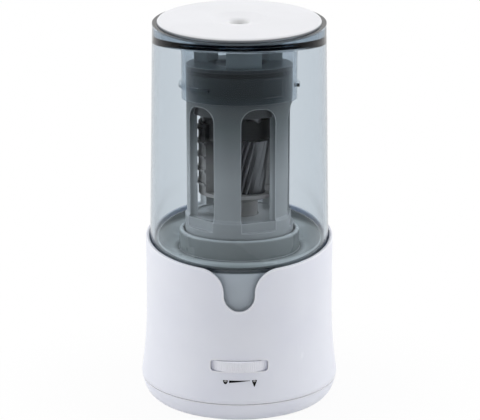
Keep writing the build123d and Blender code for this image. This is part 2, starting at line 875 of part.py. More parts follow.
def cutter_frame(shape):
    """Shape placed on the slanted axle: its origin at the tip, its Z along the axle."""
    return turned(cutter_angle, Pos(cutter_foot, 0, tip_z) * Rot(0, slant_angle, 0) * shape)


def cutter_section(turn):
    """Saw-toothed section of the cutter."""
    points = []
    for tooth in range(cutter_teeth):
        start = 2 * math.pi * tooth / cutter_teeth + math.radians(turn)
        for radius, share in ((cutter_r, 0.0), (cutter_r, 0.12), (cutter_r - cutter_tooth_h, 0.3)):
            angle = start + 2 * math.pi * share / cutter_teeth
            points.append((radius * math.cos(angle), radius * math.sin(angle)))
    return make_face(Polyline(*points, close=True))


def helical_cutter():
    """Cylindrical cutter with slanting saw teeth and a shank for its pinion."""
    faces = []
    for step in range(cutter_steps + 1):
        share = step / cutter_steps
        faces.append(Pos(0, 0, cutter_len * share) * cutter_section(cutter_twist * share))
    body = loft(faces, ruled=True) + cyl(shank_r, cutter_len - 1, pinion_s)
    return cutter_frame(body - cyl(axle_r + run_fit, -1, pinion_s + 1))


def pinion_tip_r():
    """Largest radius of the cutter's pinion."""
    pitch_r = (pinion_s + pinion_len - apex_s) * pinion_slope
    return pitch_r * (1 + 2 * gear_tip / pinion_teeth)


def cutter_pinion():
    """Bevel pinion on the cutter's shank, with a tooth towards the ring gear."""
    faces = []
    for along in (pinion_s, pinion_s + pinion_len):
        pitch_r = (along - apex_s) * pinion_slope
        faces.append(Pos(0, 0, along) * toothed(pinion_teeth, pitch_r, 2 * pitch_r / pinion_teeth))
    return cutter_frame(loft(faces, ruled=True) - cyl(axle_r + run_fit, 0, sky))


def cutter_axle():
    """Steel pin on which the cutter turns."""
    return cutter_frame(cyl(axle_r, -axle_foot, pinion_s + pinion_len + axle_head))


def cutter_carrier():
    """Dark frame that carries the cutter round the pencil: hub, plate, ribbed drum, shoulder, head."""
    drum_top = ring_z - carrier_rib_end
    hub = cyl(carrier_hub_r, carrier_z, tip_z)
    hub += spin_points(
        (0, carrier_plate_z),
        (carrier_hub_r, carrier_plate_z),
        (carrier_drum_r, carrier_plate_z + carrier_cone_h),
        (carrier_drum_r, tip_z),
        (0, tip_z),
    )
    back = cyl(carrier_drum_r, tip_z - bite, drum_top)
    rib_step = (drum_top - tip_z) / carrier_ribs
    for rib in range(carrier_ribs):
        low = tip_z + rib_step * (rib + 0.5)
        back += cyl(carrier_drum_r + carrier_rib_h, low, low + carrier_rib_t)
    far = 2 * carrier_drum_r
    back &= block(-far, carrier_open, -far, far, 0, sky)
    shoulder_z = tip_z + cutter_len * cos_slant - carrier_shoulder_drop
    head = cyl(carrier_r, shoulder_z, carrier_head_z + bite)
    head += cyl(carrier_r + carrier_head_step, carrier_head_z, carrier_head_top)
    head += cyl(carrier_neck_r, carrier_head_z, neck_top)
    place = Pos(cutter_foot, 0, tip_z) * Rot(0, slant_angle, 0)
    body = hub + back + head
    cone_top = tip_z + (guide_bore - carrier_tip_r) / tan_slant
    body -= spin_points(
        (0, tip_z - 1),
        (carrier_tip_r, tip_z),
        (guide_bore, cone_top),
        (guide_bore, neck_top - neck_funnel),
        (guide_bore + neck_funnel, neck_top),
        (0, neck_top),
    )
    body -= cyl(stop_r + stop_bore_gap, 0, tip_z)
    body -= place * cyl(cutter_r + free_gap, -axial_play, cutter_len + axial_play)
    body -= place * cyl(shank_r + free_gap, 0, pinion_s)
    body -= place * cyl(pinion_tip_r() + free_gap, pinion_s - 2, pinion_s + pinion_len + axial_play)
    body -= place * cyl(axle_r + run_fit, -axle_foot, pinion_s + pinion_len + axle_head)
    socket = RegularPolygon(drive_flats / 2 + run_fit, 6, major_radius=False)
    body -= Pos(0, 0, carrier_z - 1) * extrude(socket, drive_h + 1)
    return turned(cutter_angle, body)


def idler_turn():
    """Direction from the main axis to the compound gear."""
    return math.degrees(math.atan2(idler_y, idler_x))


def motor_turn():
    """Direction from the compound gear to the motor."""
    return math.degrees(math.atan2(motor_y - idler_y, -idler_x))


def output_gear():
    """Hollow gear on the main axis, with journals and a hexagon that drives the carrier."""
    body = gear(output_teeth, drive_module, idler_turn(), output_z, output_top)
    body += cyl(journal_r, plate_z + axial_play, output_z + bite)
    body += cyl(hub_r, output_top - bite, output_top + hub_t)
    body += cyl(journal_r, output_top, inner_floor + axial_play)
    drive = RegularPolygon(drive_flats / 2, 6, major_radius=False)
    drive = turned(cutter_angle, extrude(drive, carrier_lift + drive_h - drive_gap_top))
    body += Pos(0, 0, inner_floor) * drive
    return body - cyl(stop_r + stop_bore_gap, 0, sky)


def output_bush():
    """Bush in the gear plate, under the output gear."""
    out = journal_r + run_fit + bush_wall
    return ring(out, journal_r + run_fit, plate_z, output_z - axial_play)


def compound_gear():
    """Large gear driven by the motor, with the small pinion that drives the output gear."""
    big = gear(idler_teeth, motor_module, motor_turn(), idler_z, idler_top, idler_x, idler_y)
    gap_turn = idler_turn() + 180 + 180 / idler_pinion_teeth
    small_top = output_top + axial_play
    small = gear(idler_pinion_teeth, drive_module, gap_turn, idler_top - bite, small_top, idler_x, idler_y)
    return big + small - cyl(idler_pin_r + run_fit, 0, sky, idler_x, idler_y)


def idler_pin():
    """Steel pin between the gear plate and the deck, under the compound gear's bore."""
    return cyl(idler_pin_r, plate_z, inner_floor - idler_cover, idler_x, idler_y)


def motor_can():
    """Steel cup of the motor, hung under the gear plate, with its front boss."""
    low = motor_low
    can = cyl(motor_r, low, plate_z, 0, motor_y)
    can += cyl(motor_boss_r, plate_z, plate_z + motor_boss_h, 0, motor_y)
    can -= cyl(motor_r - motor_wall, low - 1, plate_z - motor_wall, 0, motor_y)
    can -= cyl(motor_shaft_r + run_fit, 0, sky, 0, motor_y)
    for x, y in motor_screw_places():
        can -= cyl(motor_screw_r + run_fit, plate_z - motor_screw_len, sky, x, y)
    return can


def motor_end_cap():
    """Plastic end of the motor, with two terminal tabs."""
    low = motor_low
    cap = cyl(motor_r - motor_wall - seat_gap, low, low + motor_cap_t, 0, motor_y)
    cap -= cyl(motor_shaft_r + run_fit, low + motor_tail_t, sky, 0, motor_y)
    tab = block(-terminal_w / 2, terminal_w / 2, -terminal_t / 2, terminal_t / 2, low - terminal_len, low + 1)
    for side in (-1, 1):
        cap += Pos(side * terminal_x, motor_y, 0) * tab
    return cap


def motor_magnets():
    """Two curved magnets inside the can."""
    out = motor_r - motor_wall - seat_gap
    low = motor_low + motor_cap_t + armature_hub_len
    high = low + armature_len + 2 * magnet_over
    body = ring(out, out - magnet_t, low, high, 0, motor_y)
    keep = block(magnet_part / 2, motor_r, motor_y - motor_r, motor_y + motor_r, low, high)
    right = body & keep
    return [right, mirror(right, about=Plane.YZ)]


def motor_armature():
    """Slotted core on the motor's shaft."""
    low = motor_low + motor_cap_t + armature_hub_len + magnet_over
    core = cyl(armature_r, low, low + armature_len, 0, motor_y)
    for slot in range(3):
        x, y = on_ring(armature_r, 120 * slot + armature_turn)
        core -= cyl(armature_slot_r, low - 1, low + armature_len + 1, x, motor_y + y)
    core += cyl(armature_hub_r, low - armature_hub_len, low + armature_len + armature_hub_len, 0, motor_y)
    return core - cyl(motor_shaft_r, 0, sky, 0, motor_y)


def motor_shaft():
    """Motor shaft, up to the top of its pinion."""
    low = motor_low + motor_tail_t + axial_play
    return cyl(motor_shaft_r, low, idler_top + axial_play, 0, motor_y)


def motor_pinion():
    """Small pinion on the motor's shaft."""
    turn = motor_turn() + 180 + 180 / motor_teeth
    body = gear(motor_teeth, motor_module, turn, idler_z - axial_play, idler_top + axial_play, 0, motor_y)
    return body - cyl(motor_shaft_r, 0, sky, 0, motor_y)


def motor_screws():
    """Two screws through the gear plate into the motor's face."""
    screws = []
    for x, y in motor_screw_places():
        head = cyl(motor_screw_head_r, plate_top - motor_screw_head_t, plate_top, x, y)
        screws.append(head + cyl(motor_screw_r, plate_z - motor_screw_len, plate_top - bite, x, y))
    return screws


def pencil_guide():
    """Cap of the cage head: bearing of the carrier's neck, funnel and three blocks."""
    rim_top = head_top + guide_rim_t
    body = cyl(ring_seat - run_fit, guide_z, head_top) + cyl(head_r, head_top, rim_top)
    low = rim_top - bite
    for number in range(guide_blocks):
        wall = ring(guide_block_r, guide_block_r - guide_block_t, low, block_top)
        reach = guide_block_r * math.tan(math.radians(guide_block_span / 2))
        keep = Polyline((0, 0), (2 * guide_block_r, -2 * reach), (2 * guide_block_r, 2 * reach), close=True)
        sector = Pos(0, 0, low) * extrude(make_face(keep), block_top - low)
        body += turned(front_turn + guide_block_turn + 360 / guide_blocks * number, wall & sector)
    body -= cyl(carrier_neck_r + run_fit, 0, neck_top + axial_play)
    funnel_r = guide_block_r - guide_block_t - funnel_lip
    return body - spin_points(
        (0, neck_top),
        (guide_bore, neck_top),
        (guide_bore, head_top - bite),
        (funnel_r, rim_top),
        (0, rim_top),
    )


def bayonet():
    """Short rib round the outside of the inner tube, with a rounded end."""
    low = tube_z + bayonet_rise
    far = 2 * tube_r
    end = front_turn + bayonet_start
    x0, y0 = on_ring(far, end)
    x1, y1 = on_ring(far, end - bayonet_span / 2)
    x2, y2 = on_ring(far, end - bayonet_span)
    sector = make_face(Polyline((0, 0), (x0, y0), (x1, y1), (x2, y2), close=True))
    keep = Pos(0, 0, low) * extrude(sector, bayonet_h)
    round_end = Pos(0, 0, low + bayonet_h / 2) * Rot(0, 90, 0) * cyl(bayonet_h / 2, 0, far)
    rib = ring(tube_r + bayonet_reach, tube_in + bite, low, low + bayonet_h)
    return rib & (keep + turned(end, round_end))


def shavings_cup():
    """Smoked clear container: an inverted cup with a web, an inner tube and a slanted rim."""
    step_z = rim_z + cup_step_h
    slope = (skirt_r - cup_top_r) / (lid_z - step_z)
    inner_r = skirt_r - cup_wall
    web_in = inner_r - slope * (web_z - web_fillet - step_z)
    cup = spin_points(
        (0, ledge_z),
        (skirt_r, ledge_z),
        (skirt_r, step_z),
        (skirt_r - slope * (sky - step_z), sky),
        (0, sky),
    )
    cup -= above(lid_z, lid_tilt)
    corner = web_fillet * math.sqrt(0.5)
    inside = [
        Line((0, ledge_z - 1), (inner_r, ledge_z - 1)),
        Line((inner_r, ledge_z - 1), (inner_r, step_z)),
        Line((inner_r, step_z), (web_in, web_z - web_fillet)),
        ThreePointArc(
            (web_in, web_z - web_fillet),
            (web_in - web_fillet + corner, web_z - web_fillet + corner),
            (web_in - web_fillet, web_z),
        ),
        Line((web_in - web_fillet, web_z), (0, web_z)),
        Line((0, web_z), (0, ledge_z - 1)),
    ]
    cup -= spin(inside)
    cup += ring(tube_r, tube_in, tube_z, web_z + bite)
    for number in range(bayonets):
        cup += turned(360 / bayonets * number, bayonet())
    cup -= cyl(lid_r - lid_ledge, web_top, sky)
    cup -= cyl(lid_seat_r, web_top, sky) & above(lid_z - lid_t + lid_proud, lid_tilt)
    return cup - cyl(sleeve_r + seat_gap, 0, sky)


def lid_disc():
    """White slanted disc with a shallow dimple and the rounded mouth of the pencil hole."""
    disc = cyl(lid_r, web_top, sky) & above(lid_z - lid_t + lid_proud, lid_tilt)
    disc -= above(lid_z + lid_proud, lid_tilt)
    top_edge = disc.edges().sort_by(Axis.Z)[-1]
    disc = fillet(top_edge, lid_round)
    tilt = Pos(0, 0, lid_z + lid_proud) * Rot(lid_tilt, 0, 0)
    boss = tilt * cyl(dimple_r + dimple_edge, -dimple_depth - lid_t, -lid_t + bite)
    sleeve = cyl(sleeve_r, web_z, lid_z)
    ball_r = (dimple_r**2 + dimple_depth**2) / (2 * dimple_depth)
    dimple = tilt * Pos(0, 0, ball_r - dimple_depth) * Sphere(ball_r)
    mouth_r = pencil_hole_r + hole_round
    mouth_top = ball_r - dimple_depth - math.sqrt(ball_r**2 - mouth_r**2)
    mouth_z = mouth_top - hole_round
    bend = hole_round * math.sqrt(0.5)
    mouth = [
        Line((0, mouth_z), (pencil_hole_r, mouth_z)),
        ThreePointArc((pencil_hole_r, mouth_z), (mouth_r - bend, mouth_z + bend), (mouth_r, mouth_top)),
        Line((mouth_r, mouth_top), (mouth_r, lid_t)),
        Line((mouth_r, lid_t), (0, lid_t)),
        Line((0, lid_t), (0, mouth_z)),
    ]
    return disc + boss + sleeve - dimple - tilt * spin(mouth) - cyl(pencil_hole_r, 0, sky)


def thumbwheel():
    """Knurled wheel in the front slot, with the gear that turns the nut below it."""
    points = []
    for groove in range(wheel_grooves):
        for radius, share in ((wheel_r, 0.0), (wheel_r, 0.5), (wheel_r - wheel_groove_d, 0.75)):
            angle = 2 * math.pi * (groove + share) / wheel_grooves
            points.append((radius * math.cos(angle), radius * math.sin(angle)))
    rim = Pos(0, -wheel_y, wheel_low) * extrude(make_face(Polyline(*points, close=True)), wheel_t)
    teeth = gear(wheel_teeth, stop_module, rear_turn, stop_gear_z, stop_gear_z + stop_gear_t, 0, -wheel_y)
    body = rim + teeth + cyl(wheel_boss_r, stop_gear_z, wheel_low + 1, 0, -wheel_y)
    return body - cyl(wheel_pin_r + run_fit, 0, sky, 0, -wheel_y)


def wheel_pin():
    """Steel pin in the sole's boss, on which the wheel turns."""
    return cyl(wheel_pin_r, sole_z, wheel_low + wheel_t + axial_play + clip_t + clip_over, 0, -wheel_y)


def wheel_clip():
    """Spring clip that keeps the wheel on its pin."""
    low = wheel_low + wheel_t + axial_play
    clip = ring(clip_r, wheel_pin_r, low, low + clip_t, 0, -wheel_y)
    return clip - block(-clip_mouth / 2, clip_mouth / 2, -wheel_y, -wheel_y + 2 * clip_r, 0, sky)


def stop_section(grow):
    """Round section of the stop rod with a flat that keeps it from turning."""
    side = stop_r + grow
    cut = Pos(0, -stop_flat - grow - side) * Rectangle(4 * side, 2 * side)
    return Circle(side) - cut


def depth_stop():
    """Rod under the pencil tip, raised and lowered by the nut, with a flat on its upper length."""
    round_top = bracket_z - bracket_gap - press_travel
    upper = extrude(stop_section(0), stop_top - round_top)
    return cyl(stop_r, stop_gear_z - stop_below, round_top) + Pos(0, 0, round_top) * upper


def stop_nut():
    """Gear with a threaded hub that moves the stop rod."""
    body = gear(nut_teeth, stop_module, front_turn + 180 / nut_teeth, stop_gear_z, stop_gear_z + stop_gear_t)
    body += cyl(nut_hub_r, stop_gear_z, nut_top)
    return body - cyl(stop_r + run_fit, 0, sky)


def press_plate():
    """Sprung plate under the nut that presses the start switch."""
    body = cyl(press_r, press_z, press_top) + cyl(nut_hub_r, press_top - bite, stop_gear_z - axial_play / 2)
    body += cyl(press_stem_r, press_foot, press_z + bite)
    body += block(-press_tab_w / 2, press_tab_w / 2, switch_y - switch_d / 2, 0, press_z, press_top)
    return body - cyl(stop_r + stop_bore_gap, press_foot - 1, sky)


def press_spring():
    """Return spring of the press plate, its envelope as a plain sleeve."""
    return ring(spring_boss_r, guide_boss_r + seat_gap, sole_z + spring_seat_h, press_z)


def stop_bracket():
    """Bridge under the gear plate whose flatted hole keeps the stop rod from turning."""
    half = bracket_w / 2
    bracket_reach = cell_inner - bracket_side
    bridge = block(-bracket_reach, bracket_reach, -half, half, bracket_z, bracket_z + bracket_t)
    for side in (-1, 1):
        inner = side * (bracket_reach - bracket_leg_t)
        outer = side * bracket_reach
        bridge += block(min(inner, outer), max(inner, outer), -half, half, bracket_z, plate_z)
    hole = extrude(stop_section(run_fit), bracket_t + 2)
    return bridge - Pos(0, 0, bracket_z - 1) * hole


def start_switch():
    """Small switch under the press plate's tab."""
    half = switch_w / 2
    body = block(-half, half, switch_y - switch_d / 2, switch_y + switch_d / 2, start_z, start_z + switch_h)
    return body - cyl(button_r + run_fit, start_z + switch_h - button_depth, sky, 0, switch_y)


def start_button():
    """Plunger of the start switch, against the press plate."""
    top = start_z + switch_h
    return cyl(button_r, top - button_depth + press_travel + press_float, press_z, 0, switch_y)


def interlock_switch():
    """Switch under the chassis flange that feels the container."""
    half = switch_w / 2
    low = flange_z - interlock_h
    body = block(interlock_ring - interlock_back, widest_r, -half, half, low, flange_z)
    body &= cyl(flange_r(), low, flange_z)
    body -= cyl(interlock_r + run_fit, flange_z - interlock_depth - 1, sky, interlock_ring, 0)
    return turned(interlock_angle, body)


def interlock_pin():
    """Plunger that the container's skirt holds down."""
    pin = cyl(interlock_r, flange_z - interlock_depth, ledge_z, interlock_ring, 0)
    return turned(interlock_angle, pin)


pairs = (cell_places()[:2], cell_places()[2:])
pieces = {
    "base_housing": base_housing(),
    "bottom_cover": bottom_cover(),
    "rubber_feet": Compound(rubber_feet()),
    "cover_screws": Compound(cover_screws()),
    "battery_door": battery_door(),
    "door_contacts": Compound(door_contacts()),
    "chassis": chassis(),
    "deck_screws": Compound(deck_screws()),
    "deck": deck(),
    "cage": cage(),
    "cage_head": cage_head(),
    "ring_gear": ring_gear(),
    "pencil_guide": pencil_guide(),
    "shavings_cup": shavings_cup(),
    "lid_disc": lid_disc(),
    "cutter_carrier": cutter_carrier(),
    "helical_cutter": helical_cutter(),
    "cutter_pinion": cutter_pinion(),
    "cutter_axle": cutter_axle(),
    "output_gear": output_gear(),
    "output_bush": output_bush(),
    "compound_gear": compound_gear(),
    "idler_pin": idler_pin(),
    "motor_can": motor_can(),
    "motor_end_cap": motor_end_cap(),
    "motor_magnets": Compound(motor_magnets()),
    "motor_armature": motor_armature(),
    "motor_shaft": motor_shaft(),
    "motor_pinion": motor_pinion(),
    "motor_screws": Compound(motor_screws()),
    "thumbwheel": thumbwheel(),
    "wheel_pin": wheel_pin(),
    "wheel_clip": wheel_clip(),
    "depth_stop": depth_stop(),
    "stop_nut": stop_nut(),
    "press_plate": press_plate(),
    "press_spring": press_spring(),
    "stop_bracket": stop_bracket(),
    "start_switch": start_switch(),
    "start_button": start_button(),
    "interlock_switch": interlock_switch(),
    "interlock_pin": interlock_pin(),
}
for side, pair in zip(("left", "right"), pairs):
    pieces["battery_tray_" + side] = battery_tray(pair)
    pieces["top_contact_" + side] = top_contact(pair)
for number, place in enumerate(cell_places()):
    pieces["battery_cell_" + str(number + 1)] = battery_cell(*place, number % 2 == 0)

os.makedirs("parts", exist_ok=True)
for name, shape in pieces.items():
    export_step(shape, "parts/" + name + ".step")
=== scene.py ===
import json
import math

import bmesh
import bpy
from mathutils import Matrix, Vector


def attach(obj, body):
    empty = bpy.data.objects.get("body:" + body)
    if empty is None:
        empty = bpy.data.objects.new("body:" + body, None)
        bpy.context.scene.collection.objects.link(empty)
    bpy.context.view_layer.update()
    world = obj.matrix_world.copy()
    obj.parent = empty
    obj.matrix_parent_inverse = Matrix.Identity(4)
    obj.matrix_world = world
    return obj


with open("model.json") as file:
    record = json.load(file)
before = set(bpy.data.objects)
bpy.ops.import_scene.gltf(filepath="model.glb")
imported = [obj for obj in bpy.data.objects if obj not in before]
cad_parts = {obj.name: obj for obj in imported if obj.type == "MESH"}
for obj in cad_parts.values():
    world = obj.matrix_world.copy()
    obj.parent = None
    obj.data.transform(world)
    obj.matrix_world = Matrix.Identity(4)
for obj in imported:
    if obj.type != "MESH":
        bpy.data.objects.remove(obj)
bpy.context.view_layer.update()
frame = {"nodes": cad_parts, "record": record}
nodes = frame["nodes"]

# Camera at the photograph's angle
image_width = 480
focal_pixels = 1517
sensor_mm = 36.0
look_down = math.radians(14.02)
look_at = Vector((0.0, 0.0, 0.0809))
camera_distance = 0.6485
camera_shift = 0.0015

# Lamps: place, target height, width and power in watts
lamps = {
    "left": ((-0.7, 0.05, 0.40), 0.09, 0.5, 2.2),
    "right": ((0.7, 0.05, 0.40), 0.09, 0.5, 2.2),
    "top": ((0.0, 0.15, 0.95), 0.09, 0.7, 2.0),
}
fill_light = 0.53

# Floor: share of white beside the object, and where it fades to all white
floor_white = 0.93
floor_fade = (0.055, 0.12)
floor_radius = 3.0
floor_sides = 96
floor_grey = 0.8
floor_roughness = 0.9

# Colours, linear
white = (0.83, 0.85, 0.96)
chassis_white = (0.93, 0.94, 0.96)
lid_white = (0.90, 0.905, 0.935)
# painted light inside the pencil hole, lighter than the rest of the lid
hole_painted_light = (0.97, 0.975, 0.98)
lid_side = (0.20, 0.215, 0.23)
wheel_white = (0.88, 0.89, 0.95)
# white of the painted highlights along edges
edge_highlight_white = (0.97, 0.97, 1.0)
base_tone = (0.95, 0.95, 0.95)
cage_grey = (0.63, 0.65, 0.655)
# painted shade on the upper cage, darkest just under the head
cage_painted_shade = (0.20, 0.228, 0.232)
cage_top_painted_shade = (0.12, 0.137, 0.14)
# painted shade on the deck's collar, darker than its dish
collar_painted_shade = (0.195, 0.208, 0.203)
# painted highlight along the top of the collar's bead
bead_painted_highlight = (0.60, 0.63, 0.63)
# painted light on the deck's dish, where side light falls on it
dish_painted_light = (0.86, 0.89, 0.87)
# painted shade on the dish's outer rim
dish_rim_painted_shade = (0.26, 0.275, 0.275)
carrier_grey = (0.36, 0.347, 0.337)
# painted shade, nearly black, at the tops of the cutter carrier and the head
top_painted_shade = (0.008, 0.008, 0.009)
head_grey = (0.038, 0.047, 0.048)
# painted light at the foot of the head
head_foot_painted_light = (0.062, 0.076, 0.078)
# painted light on the guide's black plastic above its foot
guide_painted_light = (0.46, 0.50, 0.50)
black = (0.022, 0.024, 0.026)
print_black = (0.002, 0.002, 0.003)
print_grey = (0.36, 0.36, 0.36)
cream = (0.78, 0.76, 0.68)
cutter_grey = (0.20, 0.20, 0.205)
steel = (0.60, 0.60, 0.62)
brass = (0.70, 0.50, 0.22)
iron = (0.09, 0.09, 0.10)
rubber_black = (0.03, 0.03, 0.032)
cell_blue = (0.10, 0.17, 0.30)

# Shares that a tone is multiplied by
full_share = (1, 1, 1)
no_share = (0, 0, 0)
# painted shade on the cage's outer faces, so that its inner faces and window cheeks read lighter
outer_painted_shade = (0.62, 0.62, 0.62)
# painted shade on the front of the deck's dish
front_painted_shade = (0.55, 0.56, 0.55)
# painted shade on the deck's wall below the dish's front edge
wall_painted_shade = (0.30, 0.32, 0.35)

# Tones of graded pieces: places in metres from the middle, up or back, each with its tone
lid_tones = {
    # painted light inside the pencil hole
    "radius": ((0.0043, hole_painted_light), (0.0052, lid_white), (0.0341, lid_white), (0.0342, lid_side)),
}
deck_tones = {
    # painted shade on the collar and on the dish's rim, a painted highlight on the collar's bead, painted
    # light on the dish
    "radius": (
        (0.0238, collar_painted_shade), (0.0246, bead_painted_highlight), (0.0252, bead_painted_highlight), (0.0258, collar_painted_shade),
        (0.0262, collar_painted_shade), (0.0285, dish_painted_light), (0.0348, dish_painted_light), (0.0351, dish_rim_painted_shade),
    ),
    # painted shade on the front of the dish
    "depth": ((-0.0345, front_painted_shade), (-0.0295, full_share)),
    # painted shade on the wall below the dish's front edge
    "height": ((0.0650, wall_painted_shade), (0.0653, full_share)),
}
cage_tones = {
    # painted shade on the upper cage, darkest just under the head
    "height": ((0.0980, cage_grey), (0.1210, cage_painted_shade), (0.1290, cage_top_painted_shade)),
    # painted shade on the outer faces; the inner faces and window cheeks stay lighter
    "radius": ((0.0200, full_share), (0.0212, outer_painted_shade)),
}
# painted light at the head's foot and painted shade at its top
head_tones = {
    "height": ((0.1310, head_foot_painted_light), (0.1340, head_grey), (0.1408, head_grey), (0.1412, top_painted_shade)),
}
# the guide is black at its foot, with painted light above
guide_tones = {"height": ((0.1440, black), (0.1450, guide_painted_light))}
# painted shade at the carrier's top
carrier_tones = {"height": ((0.1020, carrier_grey), (0.1150, top_painted_shade))}

# Painted highlights on edges: width, share of white at the edge, and radius that they reach out to, in
# metres
painted_edge_highlights = {
    "cage": (0.0006, 0.50, 0.05),
    "cage_head": (0.0005, 0.15, 0.05),
    "deck": (0.0006, 0.85, 0.03),
    "white_shell": (0.0009, 0.9, 0.05),
}
edge_cosines = (0.995, 0.85)  # between the true and the rounded normal, from no edge to a full one

# Plastic and metal: waves of noise to the metre, changes either way, and ground lines along an axis
noise_span = (0.3, 0.7)  # where most of the noise lies
slow_waves = 45.0
plastic_roughness_change = 0.04
metal_roughness_change = 0.08
metal_tone_change = 0.10
lines_up = (900.0, 900.0, 60.0)
lines_across = (60.0, 900.0, 900.0)
light_depth = 0.0012  # that light goes into white plastic, in metres
light_reach = (1, 1, 1)  # share of that depth for red, green and blue

# Smoked clear plastic
smoke = (0.22, 0.36, 0.47)
smoke_density = 200.0
clear_gloss = 0.10  # share of the full reflection head on
clear_index = 1.49
haze_waves = 90.0
haze_roughness = 0.03
lamp_share = (0.945, 0.953, 0.962)  # of a lamp's light through each surface

# Printed marks on the base, in millimetres
mm = 0.001
print_out = 0.03  # above and below the surface
print_step = 0.5  # most between the cuts that let a mark follow the curve
marks_top = 19.0
blunt_x = -5.7
sharp_x = 6.22

# Outlines of the marks: half the width, or the place across, and the drop below their top
blunt_half = ((0.85, 0.0), (1.02, 0.2), (0.88, 0.8), (0.62, 1.35), (0.30, 1.62))
sharp_half = ((0.85, 0.0), (1.05, 0.2), (0.85, 0.8), (0.12, 2.75))
wedge_points = ((-4.2, 0.08), (4.5, 0.12), (4.5, 0.24), (-4.2, 1.12))

# Pale oval on the end of each tip: drop of its middle, half its width and height, and corners
end_drop = 0.42
end_half = (0.55, 0.40)
end_corners = 20


def new_material(name):
    """Empty node material with its Principled shader."""
    material = bpy.data.materials.new(name)
    material.use_nodes = True
    return material, material.node_tree, material.node_tree.nodes["Principled BSDF"]


def add(tree, kind, **values):
    """Node of a kind, with its sockets set by name."""
    node = tree.nodes.new(kind)
    for name, value in values.items():
        node.inputs[name.replace("_", " ")].default_value = value
    return node


def worked_out(tree, kind, operation, *values):
    """Result of a math node on other nodes' outputs."""
    node = tree.nodes.new(kind)
    node.operation = operation
    for place, value in enumerate(values):
        tree.links.new(value, node.inputs[place])
    return node.outputs["Value"]


def object_point(tree):
    """Output that gives a point's place on the object, in metres."""
    return tree.nodes.new("ShaderNodeTexCoord").outputs["Object"]


def stretched_point(tree, stretch):
    """Place on the object, stretched along the axes."""
    mapping = add(tree, "ShaderNodeMapping", Scale=stretch)
    tree.links.new(object_point(tree), mapping.inputs["Vector"])
    return mapping.outputs["Vector"]


def noise(tree, point, scale, detail=2.0):
    """Noise between 0 and 1 at a number of waves to the metre."""
    node = add(tree, "ShaderNodeTexNoise", Scale=scale, Detail=detail)
    tree.links.new(point, node.inputs["Vector"])
    return node.outputs["Fac"]


def bump(tree, shader, height, depth):
    """Relief of a depth in metres on a shader."""
    node = add(tree, "ShaderNodeBump", Distance=depth)
    tree.links.new(height, node.inputs["Height"])
    tree.links.new(node.outputs["Normal"], shader.inputs["Normal"])


def spread(tree, value, low, high):
    """Noise mapped to a range."""
    node = add(
        tree, "ShaderNodeMapRange", From_Min=noise_span[0], From_Max=noise_span[1], To_Min=low, To_Max=high)
    tree.links.new(value, node.inputs["Value"])
    return node.outputs["Result"]


def tinted(tree, value, colour, change):
    """Colour that varies a little either way."""
    ramp = tree.nodes.new("ShaderNodeValToRGB")
    for mark, place, share in zip(ramp.color_ramp.elements, noise_span, (1 - change, 1 + change)):
        mark.position = place
        mark.color = [min(1, c * share) for c in colour] + [1]
    tree.links.new(value, ramp.inputs["Fac"])
    return ramp.outputs["Color"]


def tone_by(tree, measure, stops):
    """Colour that changes with radius, height or depth, by stops in metres."""
    parts = tree.nodes.new("ShaderNodeSeparateXYZ")
    tree.links.new(object_point(tree), parts.inputs["Vector"])
    value = parts.outputs["Y" if measure == "depth" else "Z"]
    if measure == "radius":
        flat = tree.nodes.new("ShaderNodeCombineXYZ")
        tree.links.new(parts.outputs["X"], flat.inputs["X"])
        tree.links.new(parts.outputs["Y"], flat.inputs["Y"])
        value = worked_out(tree, "ShaderNodeVectorMath", "LENGTH", flat.outputs["Vector"])
    first = stops[0][0]
    last = stops[-1][0]
    share = add(tree, "ShaderNodeMapRange", From_Min=first, From_Max=last)
    tree.links.new(value, share.inputs["Value"])
    ramp = tree.nodes.new("ShaderNodeValToRGB")
    marks = ramp.color_ramp.elements
    marks[0].color = (*stops[0][1], 1)
    marks[1].color = (*stops[-1][1], 1)
    for place, colour in stops[1:-1]:
        marks.new((place - first) / (last - first)).color = (*colour, 1)
    tree.links.new(share.outputs["Result"], ramp.inputs["Fac"])
    return ramp.outputs["Color"]


def colour_mix(tree, blend):
    """Mix node set between a shader and its colour, which becomes the mix's first colour."""
    colour = tree.nodes["Principled BSDF"].inputs["Base Color"]
    mix = tree.nodes.new("ShaderNodeMix")
    mix.data_type = "RGBA"
    mix.blend_type = blend
    tree.links.new(colour.links[0].from_socket, mix.inputs["A"])
    tree.links.new(mix.outputs["Result"], colour)
    return mix


def paint_edge_highlights(material, width, light, reach):
    """Painted highlight along edges, lighter over a width, out to a radius, in metres."""
    tree = material.node_tree
    soft = add(tree, "ShaderNodeBevel", Radius=width)
    true = tree.nodes.new("ShaderNodeNewGeometry")
    cosine = worked_out(
        tree, "ShaderNodeVectorMath", "DOT_PRODUCT", soft.outputs["Normal"], true.outputs["Normal"])
    no_edge, full_edge = edge_cosines
    share = add(tree, "ShaderNodeMapRange", From_Min=no_edge, From_Max=full_edge, To_Max=light)
    tree.links.new(cosine, share.inputs["Value"])
    near = tone_by(tree, "radius", ((reach - width, full_share), (reach, no_share)))
    mix = colour_mix(tree, "MIX")
    mix.inputs["B"].default_value = (*edge_highlight_white, 1)
    factor = worked_out(tree, "ShaderNodeMath", "MULTIPLY", share.outputs["Result"], near)
    tree.links.new(factor, mix.inputs["Factor"])


